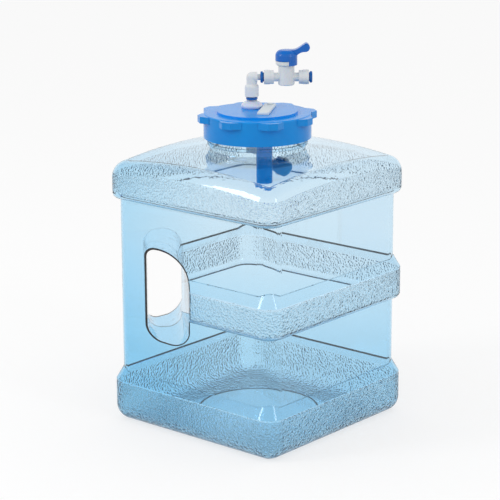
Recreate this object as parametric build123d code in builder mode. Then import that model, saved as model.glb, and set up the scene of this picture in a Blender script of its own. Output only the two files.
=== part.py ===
from build123d import *
from math import atan, cos, degrees, radians, sin, sqrt
import os

os.makedirs("parts", exist_ok=True)

# A square water container of clear plastic with a grip through one corner.
# Its screw lid carries a float valve, and above it a tube elbow and a ball valve.
# Millimetres. The origin is the centre of the base, +Z is up.
# The grip is in the corner at -X and -Y.

# Tank: outer form
body_side = 225.0
corner_radius = 18.5
panel_recess = 6.25
panel_corner_radius = 17.0
tank_wall = 1.8
base_edge_radius = 17.0
bottom_band_top = 45.0
middle_band_bottom = 126.7
middle_band_height = 34.3
top_band_bottom = 241.5
band_slope_height = 10.5
band_slope_run = 14.7
underside_radius = 7.0
shoulder_radius = 17.5
dome_radius = 750.0
dome_rise = 52.2
dome_opening = 40.0
base_recess_radius = 78.0
base_recess_slope = 16.0
base_recess_height = 5.0

# Tank: the finger hole behind the corner grip, measured from the middle axis
hole_inner = 81.0
hole_depth = 35.5
hole_bottom = 100.6
hole_height = 92.4
hole_draft = 3.0
hole_top_inner_share = 0.76
hole_top_outer_share = 0.2
hole_bottom_inner_share = 0.42
hole_bottom_outer_share = 0.37
band_end = 2.0

# Tank: neck
neck_radius = 50.0
neck_wall = 2.5
neck_rise = 30.7
neck_bead_reach = 2.3
neck_bead_rise = 3.3
neck_bead_height = 3.0

# Lid
seal_thickness = 2.0
lid_plate = 2.6
lid_edge_radius = 1.5
skirt_clearance = 1.2
skirt_wall = 2.5
skirt_height = 25.3
disc_step = 14.0
disc_rise = 2.2
lug_count = 8
lug_reach = 6.4
lug_face_width = 10.5
lug_base_width = 27.0
lug_height = 7.0
lug_top_drop = 0.6
lid_turn = 9.7
seal_width = 4.8
seal_overhang = 1.5

# Push-fit joints for 1/4 inch tube
tube_radius = 3.175
bore_radius = 2.1
running_fit = 0.08
collet_wall = 1.55
collet_flange_radius = 6.0
collet_flange_width = 2.6
collet_gap = 1.1
collet_round = 1.0
collet_depth = 4.9
o_ring_thickness = 1.7
ring_fit = 0.02
ring_room = 2.0
collet_end_gap = 1.1
stem_end_gap = 0.3
socket_depth = 14.5

# Float valve in the lid, with its spigot through the lid
port_x = -12.6
port_y = 5.9
fitting_turn = 40.5
shank_radius = 5.0
shank_fit = 0.1
nut_height = 7.7
nut_radius = 11.1
nut_base_radius = 9.8
nut_belly_height = 3.2
nut_crown_radius = 7.4
nut_crown_drop = 0.9
nut_top_radius = 5.6
gasket_thickness = 1.5
valve_flange_radius = 9.6
valve_flange_height = 2.2
float_body_radius = 7.0
float_body_length = 28.0
ear_length = 12.5
ear_width = 2.0
ear_depth = 12.0
arm_width = 6.0
pivot_offset = 4.0
pivot_drop = 8.5
pin_radius = 1.2
arm_length = 40.5
arm_droop = 30.0
arm_height = 4.0
float_radius = 11.0
float_height = 15.0
float_rounding = 3.0
plunger_radius = 2.5
plunger_seal_radius = 3.2
plunger_hang = 7.8
ear_root = 2.0
arm_block_length = 9.0
arm_rib = 2.4
arm_rib_height = 2.8
arm_stud_radius = 2.4
arm_tip = 2.0
plunger_length = 10.5
plunger_tip_radius = 0.6
plunger_taper = 1.1
plunger_seal_height = 1.4
plunger_travel = 1.5

# Elbow
elbow_clearance = 1.0
elbow_bend_room = 5.4
elbow_head_radius = 5.5
elbow_socket_radius = 7.3
elbow_socket_length = 12.6
spigot_end_gap = 1.1
elbow_shoulder = 3.0
elbow_head_reach = 5.8

# Ball valve
valve_clearance = 3.1
valve_core_half = 8.7
valve_collar_radius = 7.6
valve_collar_length = 6.3
valve_step_radius = 7.2
valve_step_length = 4.0
valve_neck_radius = 4.6
valve_body_radius = 8.5
valve_body_drop = 8.2
valve_body_rise = 12.5
valve_body_edge = 1.2
ball_radius = 5.0
ball_clearance = 0.05
chamber_radius = 5.9
seat_radius = 4.0
seat_width = 2.4
seat_depth = 6.4
stem_flange_radius = 5.6
stem_flange_height = 1.6
stem_radius = 3.5
stem_square = 4.4
stem_square_height = 5.0
tongue_width = 2.4
tongue_depth = 1.5
tongue_length = 6.0
stem_groove_width = 1.0
stem_groove_depth = 1.0
bonnet_bevel = 1.2
bonnet_plate = 4.6
bonnet_radius = 11.2
stop_angle = 77.0
stop_clearance = 1.5
lever_radius = 11.4
lever_band = 4.8
lever_dome = 6.2
lever_skirt = 4.6
lever_skirt_inner = 9.0
lever_clearance = 0.4
lever_reach = 24.2
lever_tip_rise = 2.6
lever_tip_radius = 4.5
lever_tip_round = 0.45
lever_tip_slope = 0.55
lever_saddle_radius = 9.1
lever_saddle_rise = 0.5
lever_root_slope = 1.1
lever_root = 1.2
lever_width = 9.0

# Hose hole in the lid, with its swinging cover
hose_x = 16.4
hose_y = -8.6
hose_hole_radius = 5.5
guide_radius = 8.3
guide_wall = 1.8
guide_length = 70.6
cover_turn = -59.2
cover_reach = 37.0
cover_width = 12.0
cover_thickness = 2.4
cover_front = 9.0
cover_back = 4.5
cover_lift = 0.2
cover_corner = 1.5
cover_edge = 0.6
cover_pin_radius = 1.6
cover_pin_head_radius = 3.0
cover_pin_head_height = 0.8

# Sizes and heights that follow from these
middle_band_top = middle_band_bottom + middle_band_height
hole_outer = hole_inner + hole_depth
hole_top = hole_bottom + hole_height
dome_height = top_band_bottom + dome_rise
neck_top = dome_height + neck_rise
neck_bead_bottom = dome_height + neck_bead_rise
neck_bead_radius = neck_radius + neck_bead_reach
skirt_radius = neck_bead_radius + skirt_clearance + skirt_wall
disc_radius = skirt_radius - disc_step
lug_radius = skirt_radius + lug_reach
lid_underside = neck_top + seal_thickness
lid_top = lid_underside + lid_plate
disc_top = lid_top + disc_rise
disc_underside = disc_top - lid_plate
skirt_bottom = lid_top - skirt_height
guide_bottom = disc_underside - guide_length
nut_top = disc_top + nut_height
elbow_socket_bottom = nut_top + elbow_clearance + collet_flange_width + collet_gap
elbow_socket_top = elbow_socket_bottom + elbow_socket_length
spigot_top = elbow_socket_bottom + socket_depth - spigot_end_gap
elbow_axis_height = elbow_socket_bottom + socket_depth + elbow_bend_room
valve_half_length = valve_core_half + socket_depth
valve_distance = elbow_head_reach + valve_clearance + collet_flange_width + collet_gap + valve_half_length
gasket_bottom = disc_underside - gasket_thickness
valve_flange_bottom = gasket_bottom - valve_flange_height
float_body_bottom = valve_flange_bottom - float_body_length
pivot_height = float_body_bottom - pivot_drop
collet_radius = tube_radius + running_fit + collet_wall
collet_bore = collet_radius + running_fit
collet_inner = tube_radius + running_fit
ring_bore = tube_radius + 2 * ring_fit + o_ring_thickness
plunger_bottom = float_body_bottom - plunger_hang
stem_bottom = elbow_axis_height + ball_radius + ball_clearance
bonnet_bottom = stem_bottom + stem_flange_height + running_fit
barrel_top = elbow_axis_height + valve_body_rise
plate_top = barrel_top + bonnet_plate
hub_bottom = plate_top + lever_clearance
hub_top = hub_bottom + lever_band + lever_dome
stem_groove_bottom = (bonnet_bottom + barrel_top - stem_groove_width) / 2
cover_pin_x = hose_x - cover_reach * cos(radians(cover_turn))
cover_pin_y = hose_y - cover_reach * sin(radians(cover_turn))
pin_head_bottom = disc_top + 2 * cover_lift + cover_thickness


def dome_fall(radius):
    """How far the domed shoulder has dropped at this distance from the middle."""
    return dome_radius - sqrt(dome_radius**2 - radius**2)


def on_body_side(edge):
    """True for an edge along the outside of the first quarter of the tank."""
    place = edge.center()
    return min(place.X, place.Y) > panel_recess and max(place.X, place.Y) > neck_radius


def body_section(inset):
    return RectangleRounded(body_side - 2 * inset, body_side - 2 * inset, corner_radius - inset)


def band(bottom, top, edge_radius, inset):
    """One of the wide bands round the tank: rounded below, sloping in above."""
    with BuildPart() as ring:
        with BuildSketch(Plane.XY.offset(bottom + inset)):
            body_section(inset)
        extrude(amount=top - bottom - 2 * inset)
        fillet(ring.faces().sort_by(Axis.Z)[0].edges(), edge_radius - inset)
        with BuildSketch(Plane.XY.offset(top - inset)):
            body_section(inset)
        extrude(amount=band_slope_run, taper=degrees(atan(panel_recess / band_slope_height)))
    return ring.part


def tank_form(inset):
    """The tank's closed form, moved in by the inset all round."""
    panel_side = body_side - 2 * panel_recess - 2 * inset
    with BuildPart() as shoulder:
        with BuildSketch(Plane.XY.offset(top_band_bottom + inset)):
            body_section(inset)
            Rectangle(body_side, body_side, align=(Align.MIN, Align.MIN), mode=Mode.INTERSECT)
            Circle(dome_opening, mode=Mode.SUBTRACT)
        extrude(amount=dome_height - top_band_bottom)
        with BuildSketch(Plane.XZ):
            with BuildLine():
                crown = (dome_opening / 2, dome_height - inset - dome_fall(dome_opening / 2))
                rim = (body_side, dome_height - inset - dome_fall(body_side))
                RadiusArc(rim, crown, -dome_radius)
                Polyline(crown, (dome_opening / 2, 0), (body_side, 0), rim)
            make_face()
        revolve(axis=Axis.Z, mode=Mode.INTERSECT)
        for place, radius in ((0, underside_radius), (-1, shoulder_radius)):
            ring = shoulder.faces().sort_by(Axis.Z)[place]
            fillet(ring.edges().filter_by(on_body_side), radius - inset)
        mirror(about=Plane.XZ)
        mirror(about=Plane.YZ)
    with BuildPart() as belt:
        add(band(middle_band_bottom, middle_band_top, underside_radius, inset))
        with BuildSketch(Plane.XY):
            with Locations((-band_end, -band_end)):
                Rectangle(body_side, body_side, align=(Align.MAX, Align.MAX))
        extrude(amount=top_band_bottom, mode=Mode.SUBTRACT)
    with BuildPart() as form:
        with BuildSketch(Plane.XY.offset(bottom_band_top - 2 * inset)):
            RectangleRounded(panel_side, panel_side, panel_corner_radius - inset)
        extrude(amount=top_band_bottom + 2 * underside_radius - bottom_band_top)
        add(band(0, bottom_band_top, base_edge_radius, inset))
        add(belt.part)
        add(shoulder.part)
    return form.part


def finger_hole(inset):
    """The hole behind the grip, wider by the inset, drafted both ways from the corner's middle plane."""
    middle = Plane(origin=(0, 0, 0), x_dir=(-1, -1, 0), z_dir=(-1, 1, 0))
    near, far = hole_inner - inset, hole_outer + inset
    low, high = hole_bottom - inset, hole_top + inset
    with BuildPart() as hole:
        with BuildSketch(middle):
            with BuildLine():
                FilletPolyline(
                    (near, low),
                    (near, high),
                    (far, high),
                    (far, low),
                    radius=[
                        hole_bottom_inner_share * hole_depth + inset,
                        hole_top_inner_share * hole_depth + inset,
                        hole_top_outer_share * hole_depth + inset,
                        hole_bottom_outer_share * hole_depth + inset,
                    ],
                    close=True,
                )
            make_face()
        extrude(amount=body_side / 2, taper=-hole_draft)
        mirror(about=middle)
    return hole.part


outer_form = tank_form(0)
outer_hole = finger_hole(0)
inner_form = tank_form(tank_wall)
inner_hole = finger_hole(tank_wall)

with BuildPart() as hollow:
    add(inner_form)
    add(inner_hole, mode=Mode.SUBTRACT)
    with BuildSketch(Plane.XZ):
        with BuildLine():
            Polyline(
                (0, 0),
                (base_recess_radius + tank_wall, 0),
                (base_recess_radius + tank_wall, tank_wall),
                (base_recess_radius - base_recess_slope + tank_wall, base_recess_height + tank_wall),
                (0, base_recess_height + tank_wall),
                close=True,
            )
        make_face()
    revolve(axis=Axis.Z, mode=Mode.SUBTRACT)

with BuildPart() as tank:
    add(outer_form)
    with BuildSketch(Plane.XY.offset(top_band_bottom + underside_radius)):
        Circle(neck_radius)
    extrude(amount=neck_top - top_band_bottom - underside_radius)
    with BuildSketch(Plane.XY.offset(neck_bead_bottom)):
        Circle(neck_bead_radius)
    extrude(amount=neck_bead_height)
    add(outer_hole, mode=Mode.SUBTRACT)
    with BuildSketch(Plane.XZ):
        with BuildLine():
            Polyline(
                (0, 0),
                (base_recess_radius, 0),
                (base_recess_radius - base_recess_slope, base_recess_height),
                (0, base_recess_height),
                close=True,
            )
        make_face()
    revolve(axis=Axis.Z, mode=Mode.SUBTRACT)
    add(hollow.part, mode=Mode.SUBTRACT)
    with BuildSketch(Plane.XY.offset(top_band_bottom)):
        Circle(neck_radius - neck_wall)
    extrude(amount=neck_top, mode=Mode.SUBTRACT)
tank.part.label = "tank"
export_step(tank.part, "parts/tank.step")


# Seal ring between the neck's lip and the lid
with BuildPart() as cap_seal:
    with BuildSketch(Plane.XY.offset(neck_top)):
        Circle(neck_radius + seal_overhang)
        Circle(neck_radius + seal_overhang - seal_width, mode=Mode.SUBTRACT)
    extrude(amount=seal_thickness)
cap_seal.part.label = "cap_seal"
export_step(cap_seal.part, "parts/cap_seal.step")


# Screw lid: skirt, stepped top, eight lugs and the guide for a hose
with BuildPart() as cap:
    with BuildSketch(Plane.XZ):
        with BuildLine():
            Polyline(
                (0, disc_underside),
                (disc_radius - lid_plate, disc_underside),
                (disc_radius - lid_plate, lid_underside),
                (skirt_radius - skirt_wall, lid_underside),
                (skirt_radius - skirt_wall, skirt_bottom),
                (skirt_radius, skirt_bottom),
                (skirt_radius, lid_top),
                (disc_radius, lid_top),
                (disc_radius, disc_top),
                (0, disc_top),
                close=True,
            )
        make_face()
    revolve(axis=Axis.Z)
    top_edges = cap.edges().filter_by(lambda edge: abs(edge.center().Z - lid_top) < lid_edge_radius)
    fillet(top_edges.sort_by(SortBy.LENGTH)[-1], lid_edge_radius)
    with BuildSketch(Plane.XY.offset(lid_top - lug_top_drop)):
        with PolarLocations(0, lug_count, start_angle=lid_turn):
            Polygon(
                (skirt_radius - skirt_wall / 2, -lug_base_width / 2),
                (lug_radius, -lug_face_width / 2),
                (lug_radius, lug_face_width / 2),
                (skirt_radius - skirt_wall / 2, lug_base_width / 2),
                align=None,
            )
    extrude(amount=-lug_height)
    with BuildSketch(Plane.XY.offset(disc_underside)):
        with Locations((hose_x, hose_y)):
            Circle(guide_radius)
    extrude(amount=guide_bottom - disc_underside)
    with BuildSketch(Plane.XY.offset(disc_underside)):
        with Locations((hose_x, hose_y)):
            Circle(guide_radius - guide_wall)
    extrude(amount=guide_bottom - disc_underside, mode=Mode.SUBTRACT)
    with BuildSketch(Plane.XY.offset(disc_top)):
        with Locations((hose_x, hose_y)):
            Circle(hose_hole_radius)
        with Locations((port_x, port_y)):
            Circle(shank_radius + shank_fit)
        with Locations((cover_pin_x, cover_pin_y)):
            Circle(cover_pin_radius)
    extrude(amount=-lid_plate, mode=Mode.SUBTRACT)
cap.part.label = "cap"
export_step(cap.part, "parts/cap.step")


# Swinging cover over the hose hole, and the pin that it turns on
cover_plane = Plane(
    origin=(cover_pin_x, cover_pin_y, disc_top + cover_lift),
    x_dir=(cos(radians(cover_turn)), sin(radians(cover_turn)), 0),
    z_dir=(0, 0, 1),
)
with BuildPart() as hose_cover:
    with BuildSketch(cover_plane):
        with Locations(((cover_reach + cover_front - cover_back) / 2, 0)):
            RectangleRounded(cover_reach + cover_front + cover_back, cover_width, cover_corner)
        Circle(cover_pin_radius + running_fit, mode=Mode.SUBTRACT)
    extrude(amount=cover_thickness)
    fillet(hose_cover.faces().sort_by(Axis.Z)[-1].outer_wire().edges(), cover_edge)
hose_cover.part.label = "hose_cover"
export_step(hose_cover.part, "parts/hose_cover.step")

with BuildPart() as cover_pin:
    with BuildSketch(Plane.XY.offset(disc_underside)):
        with Locations((cover_pin_x, cover_pin_y)):
            Circle(cover_pin_radius)
    extrude(amount=pin_head_bottom - disc_underside)
    with BuildSketch(Plane.XY.offset(pin_head_bottom)):
        with Locations((cover_pin_x, cover_pin_y)):
            Circle(cover_pin_head_radius)
    extrude(amount=cover_pin_head_height)
cover_pin.part.label = "cover_pin"
export_step(cover_pin.part, "parts/cover_pin.step")


# Frame of the fittings: +X runs along the ball valve, the origin is on the port's axis
fitting_x = (cos(radians(fitting_turn)), sin(radians(fitting_turn)), 0)
fitting_y = (-sin(radians(fitting_turn)), cos(radians(fitting_turn)), 0)
fittings = Plane(origin=(port_x, port_y, 0), x_dir=fitting_x, z_dir=(0, 0, 1))
port_axis = Axis((port_x, port_y, 0), (0, 0, 1))
upright = Plane(origin=(port_x, port_y, 0), x_dir=fitting_x, z_dir=(-fitting_y[0], -fitting_y[1], 0))
water_axis = Axis(fittings.from_local_coords((0, 0, elbow_axis_height)), fitting_x)
valve_centre = fittings.from_local_coords((valve_distance, 0, elbow_axis_height))
valve_upright = Plane(origin=(valve_centre.X, valve_centre.Y, 0), x_dir=fitting_x, z_dir=upright.z_dir)
valve_level = Plane(origin=valve_centre, x_dir=fitting_x, z_dir=(0, 0, 1))
stem_axis = Axis(valve_centre, (0, 0, 1))


# Nut, gasket and float valve body that clamp the lid between them
with BuildPart() as bulkhead_nut:
    with BuildSketch(upright):
        with BuildLine():
            Polyline(
                (shank_radius + running_fit, nut_top),
                (shank_radius + running_fit, disc_top),
                (nut_base_radius, disc_top),
            )
            Spline(
                (nut_base_radius, disc_top),
                (nut_radius, disc_top + nut_belly_height),
                (nut_crown_radius, nut_top - nut_crown_drop),
                (nut_top_radius, nut_top),
            )
            Line((nut_top_radius, nut_top), (shank_radius + running_fit, nut_top))
        make_face()
    revolve(axis=port_axis)
bulkhead_nut.part.label = "bulkhead_nut"
export_step(bulkhead_nut.part, "parts/bulkhead_nut.step")

with BuildPart() as port_gasket:
    with BuildSketch(fittings.offset(gasket_bottom)):
        Circle(valve_flange_radius)
        Circle(shank_radius + running_fit, mode=Mode.SUBTRACT)
    extrude(amount=gasket_thickness)
port_gasket.part.label = "port_gasket"
export_step(port_gasket.part, "parts/port_gasket.step")

seat_height = float_body_bottom + plunger_length + plunger_seal_height + plunger_travel - plunger_hang
with BuildPart() as float_valve_body:
    with BuildSketch(upright):
        with BuildLine():
            Polyline(
                (bore_radius, spigot_top),
                (bore_radius, seat_height),
                (plunger_seal_radius + running_fit, seat_height),
                (plunger_seal_radius + running_fit, float_body_bottom),
                (float_body_radius, float_body_bottom),
                (float_body_radius, valve_flange_bottom),
                (valve_flange_radius, valve_flange_bottom),
                (valve_flange_radius, gasket_bottom),
                (shank_radius, gasket_bottom),
                (shank_radius, nut_top),
                (tube_radius, nut_top),
                (tube_radius, spigot_top),
                close=True,
            )
        make_face()
    revolve(axis=port_axis)
    with BuildSketch(fittings.offset(float_body_bottom + ear_root)):
        with GridLocations(0, arm_width + 2 * running_fit + ear_width, 1, 2):
            Rectangle(ear_depth, ear_width)
    extrude(amount=-ear_length - ear_root)
    with BuildSketch(fittings.offset(float_body_bottom)):
        Circle(plunger_seal_radius + running_fit)
    extrude(amount=ear_root, mode=Mode.SUBTRACT)
    pivot = fittings.from_local_coords((-pivot_offset, 0, pivot_height))
    with BuildSketch(Plane(origin=pivot, x_dir=fitting_x, z_dir=fitting_y)):
        Circle(pin_radius)
    extrude(amount=float_body_radius, both=True, mode=Mode.SUBTRACT)
float_valve_body.part.label = "float_valve_body"
export_step(float_valve_body.part, "parts/float_valve_body.step")


# Float arm, its pin and float, drawn along the arm, which hangs down at rest
arm_droop_x = (
    fitting_x[0] * cos(radians(arm_droop)),
    fitting_x[1] * cos(radians(arm_droop)),
    -sin(radians(arm_droop)),
)
arm_side = Plane(origin=pivot, x_dir=arm_droop_x, z_dir=(-fitting_y[0], -fitting_y[1], 0))
float_axis = Axis(arm_side.from_local_coords((arm_length, 0, 0)), arm_side.y_dir)
with BuildPart() as float_arm:
    with BuildSketch(arm_side):
        Circle(arm_height / 2)
        with Locations((arm_block_length / 2, 0)):
            Rectangle(arm_block_length, arm_height)
    extrude(amount=arm_width / 2 - running_fit, both=True)
    with BuildSketch(arm_side):
        with Locations((arm_length / 2, 0)):
            Rectangle(arm_length, arm_rib_height)
    extrude(amount=arm_rib / 2, both=True)
    with BuildSketch(Plane(origin=float_axis.position, z_dir=float_axis.direction)):
        Circle(arm_stud_radius)
    extrude(amount=float_height / 2 + arm_tip, both=True)
    with BuildSketch(arm_side):
        Circle(pin_radius + running_fit)
    extrude(amount=arm_width, both=True, mode=Mode.SUBTRACT)
float_arm.part.label = "float_arm"
export_step(float_arm.part, "parts/float_arm.step")

with BuildPart() as arm_pin:
    with BuildSketch(Plane(origin=pivot, x_dir=fitting_x, z_dir=fitting_y)):
        Circle(pin_radius)
    extrude(amount=arm_width / 2 + running_fit + ear_width, both=True)
arm_pin.part.label = "arm_pin"
export_step(arm_pin.part, "parts/arm_pin.step")

with BuildPart() as float_ball:
    with BuildSketch(Plane(origin=float_axis.position, x_dir=arm_droop_x, z_dir=arm_side.z_dir)):
        with BuildLine():
            Polyline(
                (arm_stud_radius + running_fit, float_height / 2),
                (arm_stud_radius + running_fit, -float_height / 2),
                (float_radius - float_rounding, -float_height / 2),
            )
            ThreePointArc(
                (float_radius - float_rounding, -float_height / 2),
                (float_radius, 0),
                (float_radius - float_rounding, float_height / 2),
            )
            Line(
                (float_radius - float_rounding, float_height / 2),
                (arm_stud_radius + running_fit, float_height / 2),
            )
        make_face()
    revolve(axis=float_axis)
    with BuildSketch(Plane(origin=float_axis.position, x_dir=arm_droop_x, z_dir=float_axis.direction)):
        Rectangle(float_radius, arm_rib + 2 * running_fit, align=(Align.MAX, Align.CENTER))
    extrude(amount=arm_rib_height / 2 + running_fit, both=True, mode=Mode.SUBTRACT)
float_ball.part.label = "float"
export_step(float_ball.part, "parts/float.step")

with BuildPart() as plunger:
    with BuildSketch(upright):
        Polygon(
            (0, plunger_bottom),
            (plunger_tip_radius, plunger_bottom),
            (plunger_radius, plunger_bottom + plunger_taper),
            (plunger_radius, plunger_bottom + plunger_length),
            (0, plunger_bottom + plunger_length),
            align=None,
        )
    revolve(axis=port_axis)
plunger.part.label = "plunger"
export_step(plunger.part, "parts/plunger.step")

with BuildPart() as plunger_seal:
    with BuildSketch(fittings.offset(plunger_bottom + plunger_length)):
        Circle(plunger_seal_radius)
    extrude(amount=plunger_seal_height)
plunger_seal.part.label = "plunger_seal"
export_step(plunger_seal.part, "parts/plunger_seal.step")


# A push-fit end is drawn once: its socket, collet and seal ring lie along +X of a plane
# whose origin is on the tube's axis at the socket's open end.
def socket_points(tip):
    """The hollow of a socket, from its open end inwards, as a half outline."""
    return [
        (0, 0),
        (0, collet_bore),
        (collet_depth, collet_bore),
        (collet_depth, ring_bore),
        (collet_depth + ring_room, ring_bore),
        (collet_depth + ring_room, tube_radius + running_fit),
        (socket_depth, tube_radius + running_fit),
        (socket_depth, bore_radius),
        (tip, bore_radius),
        (tip, 0),
    ]


elbow_end = Plane(
    origin=(port_x, port_y, elbow_socket_bottom), x_dir=(0, 0, 1), z_dir=fitting_y
)
inlet_end = Plane(
    origin=fittings.from_local_coords((valve_distance - valve_half_length, 0, elbow_axis_height)),
    x_dir=fitting_x,
    z_dir=upright.z_dir,
)
outlet_end = Plane(
    origin=fittings.from_local_coords((valve_distance + valve_half_length, 0, elbow_axis_height)),
    x_dir=(-fitting_x[0], -fitting_x[1], 0),
    z_dir=fitting_y,
)
stem_end = valve_distance - valve_half_length + socket_depth - stem_end_gap

for end, axis, name in (
    (elbow_end, port_axis, "elbow"),
    (inlet_end, water_axis, "inlet"),
    (outlet_end, water_axis, "outlet"),
):
    with BuildPart() as collet:
        with BuildSketch(end):
            with BuildLine():
                face_edge = (-collet_gap - collet_flange_width, collet_flange_radius - collet_round)
                rim_edge = (-collet_gap - collet_flange_width + collet_round, collet_flange_radius)
                TangentArc(face_edge, rim_edge, tangent=(0, 1))
                Polyline(
                    rim_edge,
                    (-collet_gap, collet_flange_radius),
                    (-collet_gap, collet_radius),
                    (collet_depth - collet_end_gap, collet_radius),
                    (collet_depth - collet_end_gap, collet_inner),
                    (-collet_gap - collet_flange_width, collet_inner),
                    face_edge,
                )
            make_face()
        revolve(axis=axis)
    collet.part.label = name + "_collet"
    export_step(collet.part, "parts/" + name + "_collet.step")
    with BuildPart() as o_ring:
        with BuildSketch(end):
            with Locations((collet_depth + ring_room / 2, tube_radius + ring_fit + o_ring_thickness / 2)):
                Circle(o_ring_thickness / 2)
        revolve(axis=axis)
    o_ring.part.label = name + "_o_ring"
    export_step(o_ring.part, "parts/" + name + "_o_ring.step")


# Elbow: socket below, rounded head, plain stem to the side
with BuildPart() as elbow:
    with BuildSketch(upright):
        with BuildLine():
            shoulder_start = (elbow_socket_radius, elbow_socket_top - elbow_shoulder)
            shoulder_end = (elbow_head_radius, elbow_socket_top)
            Polyline(
                (0, elbow_axis_height),
                (0, elbow_socket_bottom),
                (elbow_socket_radius, elbow_socket_bottom),
                shoulder_start,
            )
            TangentArc(shoulder_start, shoulder_end, tangent=(0, 1))
            Polyline(shoulder_end, (elbow_head_radius, elbow_axis_height), (0, elbow_axis_height))
        make_face()
    revolve(axis=port_axis)
    with BuildSketch(Plane(origin=fittings.from_local_coords((0, 0, elbow_axis_height)), z_dir=fitting_x)):
        Circle(elbow_head_radius)
    extrude(amount=elbow_head_reach)
    with BuildSketch(upright):
        with Locations((0, elbow_axis_height)):
            Circle(elbow_head_radius)
            Rectangle(
                elbow_head_radius,
                2 * elbow_head_radius,
                align=(Align.MAX, Align.CENTER),
                mode=Mode.SUBTRACT,
            )
    revolve(axis=port_axis)
    with BuildSketch(Plane(origin=water_axis.position, z_dir=fitting_x)):
        Circle(tube_radius)
    extrude(amount=stem_end)
    with BuildSketch(elbow_end):
        Polygon(*socket_points(elbow_axis_height - elbow_socket_bottom), align=None)
    revolve(axis=port_axis, mode=Mode.SUBTRACT)
    with BuildSketch(Plane(origin=water_axis.position, z_dir=fitting_x)):
        Circle(bore_radius)
    extrude(amount=stem_end, mode=Mode.SUBTRACT)
elbow.part.label = "elbow"
export_step(elbow.part, "parts/elbow.step")


# Ball valve body: an upright barrel with a push-fit socket at each side
with BuildPart() as valve_body:
    with BuildSketch(valve_upright):
        with Locations((0, elbow_axis_height - valve_body_drop)):
            Rectangle(valve_body_radius, valve_body_drop + valve_body_rise, align=(Align.MIN, Align.MIN))
    revolve(axis=stem_axis)
    fillet(valve_body.faces().sort_by(Axis.Z)[0].edges(), valve_body_edge)
    for end in (inlet_end, outlet_end):
        with BuildSketch(end):
            Rectangle(valve_collar_length, valve_collar_radius, align=(Align.MIN, Align.MIN))
            with Locations((valve_collar_length, 0)):
                Rectangle(valve_step_length, valve_step_radius, align=(Align.MIN, Align.MIN))
            Rectangle(valve_half_length, valve_neck_radius, align=(Align.MIN, Align.MIN))
        revolve(axis=water_axis)
    with BuildSketch(valve_upright):
        with Locations((0, elbow_axis_height - chamber_radius)):
            Rectangle(chamber_radius, chamber_radius + valve_body_rise, align=(Align.MIN, Align.MIN))
    revolve(axis=stem_axis, mode=Mode.SUBTRACT)
    for end in (inlet_end, outlet_end):
        with BuildSketch(end):
            Polygon(*socket_points(valve_half_length), align=None)
            with Locations((valve_half_length, 0)):
                Rectangle(seat_depth, seat_radius + running_fit, align=(Align.MAX, Align.MIN))
        revolve(axis=water_axis, mode=Mode.SUBTRACT)
valve_body.part.label = "valve_body"
export_step(valve_body.part, "parts/valve_body.step")

for end, name in ((inlet_end, "inlet"), (outlet_end, "outlet")):
    with BuildPart() as ball_seat:
        with BuildSketch(end):
            with Locations((valve_half_length - seat_depth, bore_radius)):
                Rectangle(seat_width, seat_radius - bore_radius, align=(Align.MIN, Align.MIN))
            with Locations((valve_half_length, 0)):
                Circle(ball_radius + ball_clearance, mode=Mode.SUBTRACT)
        revolve(axis=water_axis)
    ball_seat.part.label = name + "_seat"
    export_step(ball_seat.part, "parts/" + name + "_seat.step")

with BuildPart() as valve_ball:
    with BuildSketch(valve_upright):
        with Locations((0, elbow_axis_height)):
            Circle(ball_radius)
            Rectangle(ball_radius, 2 * ball_radius, align=(Align.MAX, Align.CENTER), mode=Mode.SUBTRACT)
    revolve(axis=stem_axis)
    with BuildSketch(Plane(origin=valve_centre, z_dir=fitting_x)):
        Circle(bore_radius)
    extrude(amount=ball_radius, both=True, mode=Mode.SUBTRACT)
    with BuildSketch(valve_level.offset(ball_radius)):
        Rectangle(2 * ball_radius, tongue_width + 2 * running_fit)
    extrude(amount=-tongue_depth - running_fit, mode=Mode.SUBTRACT)
valve_ball.part.label = "valve_ball"
export_step(valve_ball.part, "parts/valve_ball.step")

with BuildPart() as valve_stem:
    with BuildSketch(valve_level.offset(ball_radius - tongue_depth)):
        Rectangle(tongue_length, tongue_width)
    extrude(amount=tongue_depth + ball_clearance)
    with BuildSketch(valve_upright):
        with BuildLine():
            Polyline(
                (0, stem_bottom),
                (stem_flange_radius, stem_bottom),
                (stem_flange_radius, stem_bottom + stem_flange_height),
                (stem_radius, stem_bottom + stem_flange_height),
                (stem_radius, stem_groove_bottom),
                (stem_radius - stem_groove_depth, stem_groove_bottom),
                (stem_radius - stem_groove_depth, stem_groove_bottom + stem_groove_width),
                (stem_radius, stem_groove_bottom + stem_groove_width),
                (stem_radius, hub_bottom),
                (0, hub_bottom),
                close=True,
            )
        make_face()
    revolve(axis=stem_axis)
    with BuildSketch(valve_level.offset(hub_bottom - elbow_axis_height)):
        Rectangle(stem_square, stem_square)
    extrude(amount=stem_square_height)
valve_stem.part.label = "valve_stem"
export_step(valve_stem.part, "parts/valve_stem.step")

with BuildPart() as stem_o_ring:
    with BuildSketch(valve_upright):
        with Locations((stem_radius - stem_groove_depth + stem_groove_width / 2,
                        stem_groove_bottom + stem_groove_width / 2)):
            Circle(stem_groove_width / 2 - running_fit / 2)
    revolve(axis=stem_axis)
stem_o_ring.part.label = "stem_o_ring"
export_step(stem_o_ring.part, "parts/stem_o_ring.step")

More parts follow.
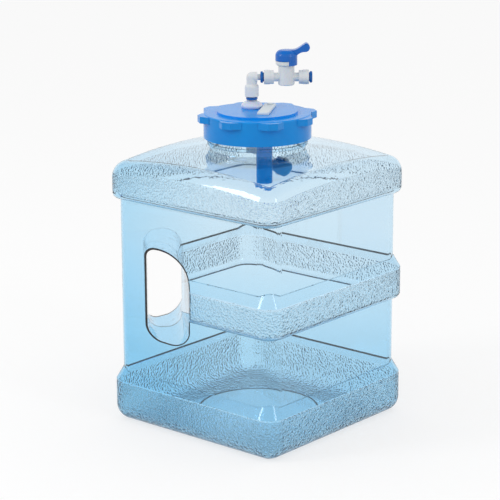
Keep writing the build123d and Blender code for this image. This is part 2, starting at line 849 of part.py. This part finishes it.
# Bonnet pressed into the barrel; half of its plate is cut away and the ends stop the lever
with BuildPart() as bonnet:
    with BuildSketch(valve_upright):
        with BuildLine():
            Polyline(
                (stem_radius + running_fit, bonnet_bottom),
                (chamber_radius - running_fit, bonnet_bottom),
                (chamber_radius - running_fit, barrel_top),
                (bonnet_radius - bonnet_bevel, barrel_top),
                (bonnet_radius, barrel_top + bonnet_bevel),
                (bonnet_radius, plate_top),
                (stem_radius + running_fit, plate_top),
                close=True,
            )
        make_face()
    revolve(axis=stem_axis)
    with BuildSketch(valve_level.offset(valve_body_rise)):
        with Locations(Location((0, 0), 90 - stop_angle)):
            Rectangle(bonnet_radius, 2 * bonnet_radius, align=(Align.MIN, Align.CENTER))
        Circle(valve_body_radius, mode=Mode.SUBTRACT)
    extrude(amount=plate_top - barrel_top, mode=Mode.SUBTRACT)
bonnet.part.label = "bonnet"
export_step(bonnet.part, "parts/bonnet.step")


# Lever: domed hub, a skirt over a quarter turn that meets the stops, and a raised thumb arm
with BuildPart() as lever:
    with BuildSketch(valve_upright):
        with BuildLine():
            Polyline(
                (lever_radius - lever_dome, hub_top),
                (0, hub_top),
                (0, hub_bottom),
                (lever_radius, hub_bottom),
                (lever_radius, hub_bottom + lever_band),
            )
            RadiusArc(
                (lever_radius, hub_bottom + lever_band),
                (lever_radius - lever_dome, hub_top),
                -lever_dome,
            )
        make_face()
    revolve(axis=stem_axis)
    with BuildSketch(valve_level.offset(hub_bottom - elbow_axis_height)):
        with BuildLine():
            skirt_start = -stop_angle + stop_clearance
            skirt_size = 90 - 2 * stop_clearance
            outside = CenterArc((0, 0), lever_radius, skirt_start, skirt_size)
            inside = CenterArc((0, 0), lever_skirt_inner, skirt_start, skirt_size)
            Line(outside @ 0, inside @ 0)
            Line(outside @ 1, inside @ 1)
        make_face()
    extrude(amount=-lever_skirt)
    with BuildSketch(valve_upright):
        with BuildLine():
            tip_x = lever_reach - lever_tip_radius
            tip_height = hub_top + lever_tip_rise
            tip_top = (tip_x + lever_tip_round, tip_height + lever_tip_radius)
            tip_side = (lever_reach, tip_height + lever_tip_round)
            tip_bottom = (tip_x, tip_height - lever_tip_radius)
            root_top = (stem_radius, hub_top)
            root_bottom = (lever_radius - lever_root, hub_bottom + lever_band)
            saddle = (lever_saddle_radius, hub_top + lever_saddle_rise)
            Spline(root_top, saddle, tip_top, tangents=((1, 0), (1, lever_tip_slope)))
            ThreePointArc(tip_top, tip_side, tip_bottom)
            Spline(tip_bottom, root_bottom, tangents=((-1, 0), (-1, -lever_root_slope)))
            Line(root_bottom, root_top)
        make_face()
    extrude(amount=lever_width / 2, both=True)
    with BuildSketch(valve_level.offset(hub_bottom - elbow_axis_height)):
        Rectangle(stem_square + 2 * running_fit, stem_square + 2 * running_fit)
    extrude(amount=stem_square_height + running_fit, mode=Mode.SUBTRACT)
lever.part.label = "lever"
export_step(lever.part, "parts/lever.step")
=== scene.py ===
import math

import bmesh
import bpy
from mathutils import Matrix, Vector

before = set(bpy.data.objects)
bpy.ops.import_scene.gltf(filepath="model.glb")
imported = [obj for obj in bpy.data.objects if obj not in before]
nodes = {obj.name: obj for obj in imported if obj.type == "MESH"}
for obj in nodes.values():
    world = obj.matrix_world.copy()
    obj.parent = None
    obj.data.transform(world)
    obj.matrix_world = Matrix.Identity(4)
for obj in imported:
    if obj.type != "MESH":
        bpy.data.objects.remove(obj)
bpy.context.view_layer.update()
scene = bpy.context.scene
scene.view_settings.view_transform = "Standard"


# Camera at the photograph's viewing angle, fitted to the tank's edges
CAMERA_AZIMUTH = 40.53          # degrees from the front (-y) towards the right (+x)
CAMERA_ELEVATION = 14.9         # degrees
CAMERA_ROLL = -0.25             # degrees
CAMERA_PLACE = (1.2947, -1.5271, 0.7143)
CAMERA_LENS = 141.65            # mm, on the sensor below
CAMERA_SENSOR = 36
CAMERA_REACH = 50


def photo_camera():
    azimuth = math.radians(CAMERA_AZIMUTH)
    elevation = math.radians(CAMERA_ELEVATION)
    roll = math.radians(CAMERA_ROLL)
    back = Vector((math.sin(azimuth) * math.cos(elevation), -math.cos(azimuth) * math.cos(elevation),
                   math.sin(elevation)))
    level_right = Vector((math.cos(azimuth), math.sin(azimuth), 0))
    right = math.cos(roll) * level_right + math.sin(roll) * back.cross(level_right)
    data = bpy.data.cameras.new("camera")
    data.lens = CAMERA_LENS
    data.sensor_width = CAMERA_SENSOR
    data.clip_end = CAMERA_REACH
    camera = bpy.data.objects.new("camera", data)
    camera.matrix_world = Matrix((right, back.cross(right), back)).transposed().to_4x4()
    camera.location = CAMERA_PLACE
    scene.collection.objects.link(camera)
    return camera


scene.camera = photo_camera()


# Shader nodes. The owner is a material or the world
MIX_FACTOR, MIX_FIRST, MIX_SECOND, MIX_COLOUR = 0, 6, 7, 2      # a colour Mix node's sockets


def new_material(name):
    """A new material and its Principled shader."""
    material = bpy.data.materials.new(name)
    material.use_nodes = True
    return material, material.node_tree.nodes["Principled BSDF"]


def connect(owner, value, socket):
    """Set a socket to a value, or link it to another node's output."""
    if isinstance(value, bpy.types.NodeSocket):
        owner.node_tree.links.new(value, socket)
    else:
        socket.default_value = value


def node(owner, kind, inputs=None, **settings):
    made = owner.node_tree.nodes.new(kind)
    for key, value in settings.items():
        setattr(made, key, value)
    for key, value in (inputs or {}).items():
        connect(owner, value, made.inputs[key])
    return made


def maths(owner, operation, *values, clamp=False):
    inputs = dict(enumerate(values))
    return node(owner, "ShaderNodeMath", inputs, operation=operation, use_clamp=clamp).outputs[0]


def spread(owner, value, **ends):
    """A Map Range node from value, with its ends given as from_min, from_max, to_min and to_max."""
    inputs = {key.replace("_", " ").title(): end for key, end in ends.items()}
    return node(owner, "ShaderNodeMapRange", {"Value": value, **inputs}).outputs["Result"]


def blend(owner, factor, first, second):
    inputs = {MIX_FACTOR: factor, MIX_FIRST: first, MIX_SECOND: second}
    return node(owner, "ShaderNodeMix", inputs, data_type="RGBA").outputs[MIX_COLOUR]


def length(owner, a, b):
    squares = [maths(owner, "MULTIPLY", value, value) for value in (a, b)]
    return maths(owner, "SQRT", maths(owner, "ADD", *squares))


def past(owner, value, start):
    """How far value is past start, and 0 before it."""
    return maths(owner, "MAXIMUM", maths(owner, "SUBTRACT", value, start), 0.0)


# Moulded plastic, rubber and steel
DRIFT_SCALE = 45.0              # slow change of colour
GRAIN_SCALE = 900.0             # fine grain in the gloss and surface
GRAIN_HEIGHT = 0.0004
GRAIN_STRENGTH = 0.25
ROUGH_LOW, ROUGH_HIGH = 0.75, 1.3
GLOW_REACH = 0.002              # how far light spreads inside milky plastic


def moulded(name, dark, light, roughness, specular=0.5, subsurface=0.0, metallic=0.0):
    """Moulded plastic: slow colour drift and a fine grain in the gloss and surface."""
    material, shader = new_material(name)
    place = node(material, "ShaderNodeTexCoord").outputs["Object"]
    drift = node(material, "ShaderNodeTexNoise", {"Vector": place, "Scale": DRIFT_SCALE, "Detail": 3.0})
    colour = blend(material, drift.outputs["Fac"], (*dark, 1), (*light, 1))
    grain = node(material, "ShaderNodeTexNoise", {"Vector": place, "Scale": GRAIN_SCALE, "Detail": 2.0})
    rough = spread(material, grain.outputs["Fac"], to_min=roughness * ROUGH_LOW, to_max=roughness * ROUGH_HIGH)
    lift = node(material, "ShaderNodeBump",
                {"Height": grain.outputs["Fac"], "Strength": GRAIN_STRENGTH, "Distance": GRAIN_HEIGHT})
    connect(material, colour, shader.inputs["Base Color"])
    connect(material, rough, shader.inputs["Roughness"])
    connect(material, lift.outputs["Normal"], shader.inputs["Normal"])
    shader.inputs["Specular IOR Level"].default_value = specular
    shader.inputs["Metallic"].default_value = metallic
    if subsurface:
        shader.inputs["Subsurface Weight"].default_value = subsurface
        shader.inputs["Subsurface Scale"].default_value = GLOW_REACH
    return material


def wear(names, material):
    for name in names:
        slots = nodes[name].data.materials
        slots.clear()
        slots.append(material)


wear(["elbow", "valve_body", "bonnet", "float_valve_body", "valve_stem", "valve_ball", "inlet_seat",
      "outlet_seat", "plunger", "float_arm"],
     moulded("white_moulding", (0.77, 0.8, 0.81), (0.84, 0.86, 0.87), 0.28, subsurface=0.08))
wear(["bulkhead_nut"],
     moulded("milky_moulding", (0.62, 0.68, 0.82), (0.72, 0.77, 0.88), 0.25, subsurface=0.3))
wear(["hose_cover", "cover_pin"], moulded("cover_moulding", (0.72, 0.79, 0.82), (0.8, 0.86, 0.88), 0.42))
wear(["cap"], moulded("lid_moulding", (0.0, 0.27, 0.82), (0.0, 0.34, 0.9), 0.2, specular=0.3))
wear(["lever"], moulded("lever_moulding", (0.0, 0.13, 0.55), (0.0, 0.17, 0.66), 0.2, specular=0.4))
wear(["float"], moulded("float_moulding", (0.06, 0.3, 0.6), (0.08, 0.34, 0.66), 0.3, specular=0.3))
wear(["elbow_collet", "inlet_collet", "outlet_collet"],
     moulded("collet_moulding", (0.0, 0.1, 0.4), (0.0, 0.13, 0.46), 0.28, specular=0.4))
wear(["cap_seal", "port_gasket"], moulded("seal_rubber", (0.4, 0.42, 0.44), (0.46, 0.48, 0.5), 0.6))
wear(["elbow_o_ring", "inlet_o_ring", "outlet_o_ring", "stem_o_ring", "plunger_seal"],
     moulded("ring_rubber", (0.012, 0.012, 0.014), (0.02, 0.02, 0.022), 0.55))
wear(["arm_pin"], moulded("pin_steel", (0.42, 0.42, 0.43), (0.5, 0.5, 0.51), 0.3, metallic=1.0))


# Clear plastic of the tank, smooth on the panels and pebbled on the bands.
# Heights are metres above the floor, and the other places are metres from the tank's middle.
CLEAR_INDEX = 1.5
ABSORBED_COLOUR = (0.0, 0.56, 0.86, 1)
ABSORPTION_DENSITY = 95.0
PLAIN_TINT = (0.97, 0.99, 1.0, 1)
# Painted shade: the deeper blue tint, and how far it reaches at the foot and on the grip side
PAINTED_SHADE_TINT = (0.6, 0.86, 0.98, 1)
FOOT_TINT_TOP, FOOT_TINT_FULL, FOOT_TINT_SHARE = 0.2, 0.03, 0.75
GRIP_TINT_START, GRIP_TINT_FULL, GRIP_TINT_SHARE = -0.06, -0.2, 0.5     # along x + y
CORNER_CENTRE = 0.094           # the bands' rounded corners
SIDE_ROUNDING = 0.0015
FOOT_ROUNDING_TOP = 0.017
OUTER_FACE = 0.0163             # distance from the corners' centre lines at which a band's outer face begins
BAND_FADE = 0.002
BOTTOM_BAND_END, BOTTOM_BAND_FULL = 0.0445, 0.043
MIDDLE_BAND = (0.131, 0.158)
TOP_BAND = (0.2475, 0.276)
PEBBLE_SCALE = 430.0
PEBBLE_SMOOTHNESS = 0.4
PEBBLE_HEIGHT = 0.0013
PEBBLE_STRENGTH = 0.9
RIPPLE_SCALE = 9.0              # uneven wall of a blown bottle
RIPPLE_HEIGHT = 0.0015
RIPPLE_STRENGTH = 0.3
PANEL_ROUGHNESS, PEBBLE_ROUGHNESS = 0.02, 0.2


def clear_plastic():
    material, shader = new_material("clear_plastic")
    shader.inputs["Transmission Weight"].default_value = 1.0
    shader.inputs["IOR"].default_value = CLEAR_INDEX
    absorb = node(material, "ShaderNodeVolumeAbsorption",
                  {"Color": ABSORBED_COLOUR, "Density": ABSORPTION_DENSITY})
    connect(material, absorb.outputs["Volume"], material.node_tree.nodes["Material Output"].inputs["Volume"])
    place = node(material, "ShaderNodeTexCoord").outputs["Object"]
    parts = node(material, "ShaderNodeSeparateXYZ", {"Vector": place})
    x, y, z = (parts.outputs[axis] for axis in "XYZ")

    # Painted shade: the tint turns deeper blue towards the foot and towards the grip side
    foot = spread(material, z, from_min=FOOT_TINT_TOP, from_max=FOOT_TINT_FULL)
    diagonal = maths(material, "ADD", x, y)
    grip = spread(material, diagonal, from_min=GRIP_TINT_START, from_max=GRIP_TINT_FULL)
    painted_shade = maths(material, "ADD", maths(material, "MULTIPLY", foot, FOOT_TINT_SHARE),
                 maths(material, "MULTIPLY", grip, GRIP_TINT_SHARE), clamp=True)
    connect(material, blend(material, painted_shade, PLAIN_TINT, PAINTED_SHADE_TINT), shader.inputs["Base Color"])

    # Pebbles on the outer faces of the three bands
    corner_x, corner_y = (past(material, maths(material, "ABSOLUTE", axis), CORNER_CENTRE) for axis in (x, y))
    side = past(material, length(material, corner_x, corner_y), SIDE_ROUNDING)
    low = past(material, maths(material, "MULTIPLY", z, -1.0), -FOOT_ROUNDING_TOP)
    outside = maths(material, "GREATER_THAN", length(material, side, low), OUTER_FACE)
    bands = spread(material, z, from_min=BOTTOM_BAND_END, from_max=BOTTOM_BAND_FULL)
    for start, end in (MIDDLE_BAND, TOP_BAND):
        rise = spread(material, z, from_min=start, from_max=start + BAND_FADE)
        fall = spread(material, z, from_min=end + BAND_FADE, from_max=end)
        bands = maths(material, "ADD", bands, maths(material, "MULTIPLY", rise, fall))
    pebbled = maths(material, "MULTIPLY", bands, outside, clamp=True)
    cells = node(material, "ShaderNodeTexVoronoi", feature="SMOOTH_F1",
                 inputs={"Vector": place, "Scale": PEBBLE_SCALE, "Smoothness": PEBBLE_SMOOTHNESS})
    pebbles = maths(material, "MULTIPLY", cells.outputs["Distance"], pebbled)
    ripple = node(material, "ShaderNodeTexNoise", {"Vector": place, "Scale": RIPPLE_SCALE, "Detail": 2.0})
    soft = node(material, "ShaderNodeBump",
                {"Height": ripple.outputs["Fac"], "Strength": RIPPLE_STRENGTH, "Distance": RIPPLE_HEIGHT})
    lift = node(material, "ShaderNodeBump", invert=True,
                inputs={"Height": pebbles, "Strength": PEBBLE_STRENGTH, "Distance": PEBBLE_HEIGHT,
                        "Normal": soft.outputs["Normal"]})
    connect(material, lift.outputs["Normal"], shader.inputs["Normal"])
    rough = spread(material, pebbled, to_min=PANEL_ROUGHNESS, to_max=PEBBLE_ROUGHNESS)
    connect(material, rough, shader.inputs["Roughness"])
    return material


wear(["tank"], clear_plastic())


# Floor, world and lamps. Camera, glossy and transmission rays see a white studio that adds no light to the part
WHITE = (1, 1, 1, 1)
FLOOR_HALF_SIDE = 6.0
FLOOR_DROP = 0.0002             # just under the part's foot
PAPER_GREY = (0.35, 0.35, 0.35, 1)
PAPER_GLOW = 0.68
WORLD_LIGHT = 0.75
CEILING_START, CEILING_FULL = 0.5, 0.85
CEILING_BLUE = (0.3, 0.48, 0.75, 1)
LAMP_TARGET = (0, 0, 0.25)


def seen_rays(owner, kinds):
    """1 for the named kinds of ray, 0 for the others."""
    path = node(owner, "ShaderNodeLightPath")
    total = path.outputs[f"Is {kinds[0]} Ray"]
    for kind in kinds[1:]:
        total = maths(owner, "ADD", total, path.outputs[f"Is {kind} Ray"], clamp=kind == kinds[-1])
    return total


def paper_floor():
    mesh = bpy.data.meshes.new("floor")
    form = bmesh.new()
    bmesh.ops.create_grid(form, x_segments=1, y_segments=1, size=FLOOR_HALF_SIDE)
    form.to_mesh(mesh)
    form.free()
    floor = bpy.data.objects.new("floor", mesh)
    floor.location = (0, 0, -FLOOR_DROP)
    scene.collection.objects.link(floor)
    paper, shader = new_material("paper")
    shader.inputs["Base Color"].default_value = PAPER_GREY
    shader.inputs["Roughness"].default_value = 1.0
    shader.inputs["Specular IOR Level"].default_value = 0.0
    shader.inputs["Emission Color"].default_value = WHITE
    glow = maths(paper, "MULTIPLY", seen_rays(paper, ("Camera", "Glossy", "Transmission")), PAPER_GLOW)
    connect(paper, glow, shader.inputs["Emission Strength"])
    mesh.materials.append(paper)
    return floor


def studio_world():
    world = bpy.data.worlds.new("studio")
    world.use_nodes = True
    sky = world.node_tree.nodes["Background"]
    seen = seen_rays(world, ("Camera", "Glossy", "Transmission"))
    connect(world, spread(world, seen, to_min=WORLD_LIGHT, to_max=1.0), sky.inputs["Strength"])
    direction = node(world, "ShaderNodeTexCoord").outputs["Generated"]
    height = node(world, "ShaderNodeSeparateXYZ", {"Vector": direction}).outputs["Z"]
    ceiling = node(world, "ShaderNodeValToRGB", {"Fac": height})
    ramp = ((CEILING_START, WHITE), (CEILING_FULL, CEILING_BLUE))
    for stop, (place, colour) in zip(ceiling.color_ramp.elements, ramp):
        stop.position = place
        stop.color = colour
    indirect = seen_rays(world, ("Glossy", "Transmission"))
    connect(world, blend(world, indirect, WHITE, ceiling.outputs["Color"]), sky.inputs["Color"])
    return world


def lamp(name, place, width, height, energy):
    data = bpy.data.lights.new(name, "AREA")
    data.shape = "RECTANGLE"
    data.size = width
    data.size_y = height
    data.energy = energy
    made = bpy.data.objects.new(name, data)
    made.location = place
    made.rotation_euler = (Vector(place) - Vector(LAMP_TARGET)).to_track_quat("Z", "Y").to_euler()
    scene.collection.objects.link(made)


paper_floor()
scene.world = studio_world()
lamp("key", (-0.9, -1.5, 1.1), width=0.5, height=0.9, energy=8.0)
lamp("side", (1.7, -0.1, 0.8), width=0.25, height=1.2, energy=4.5)
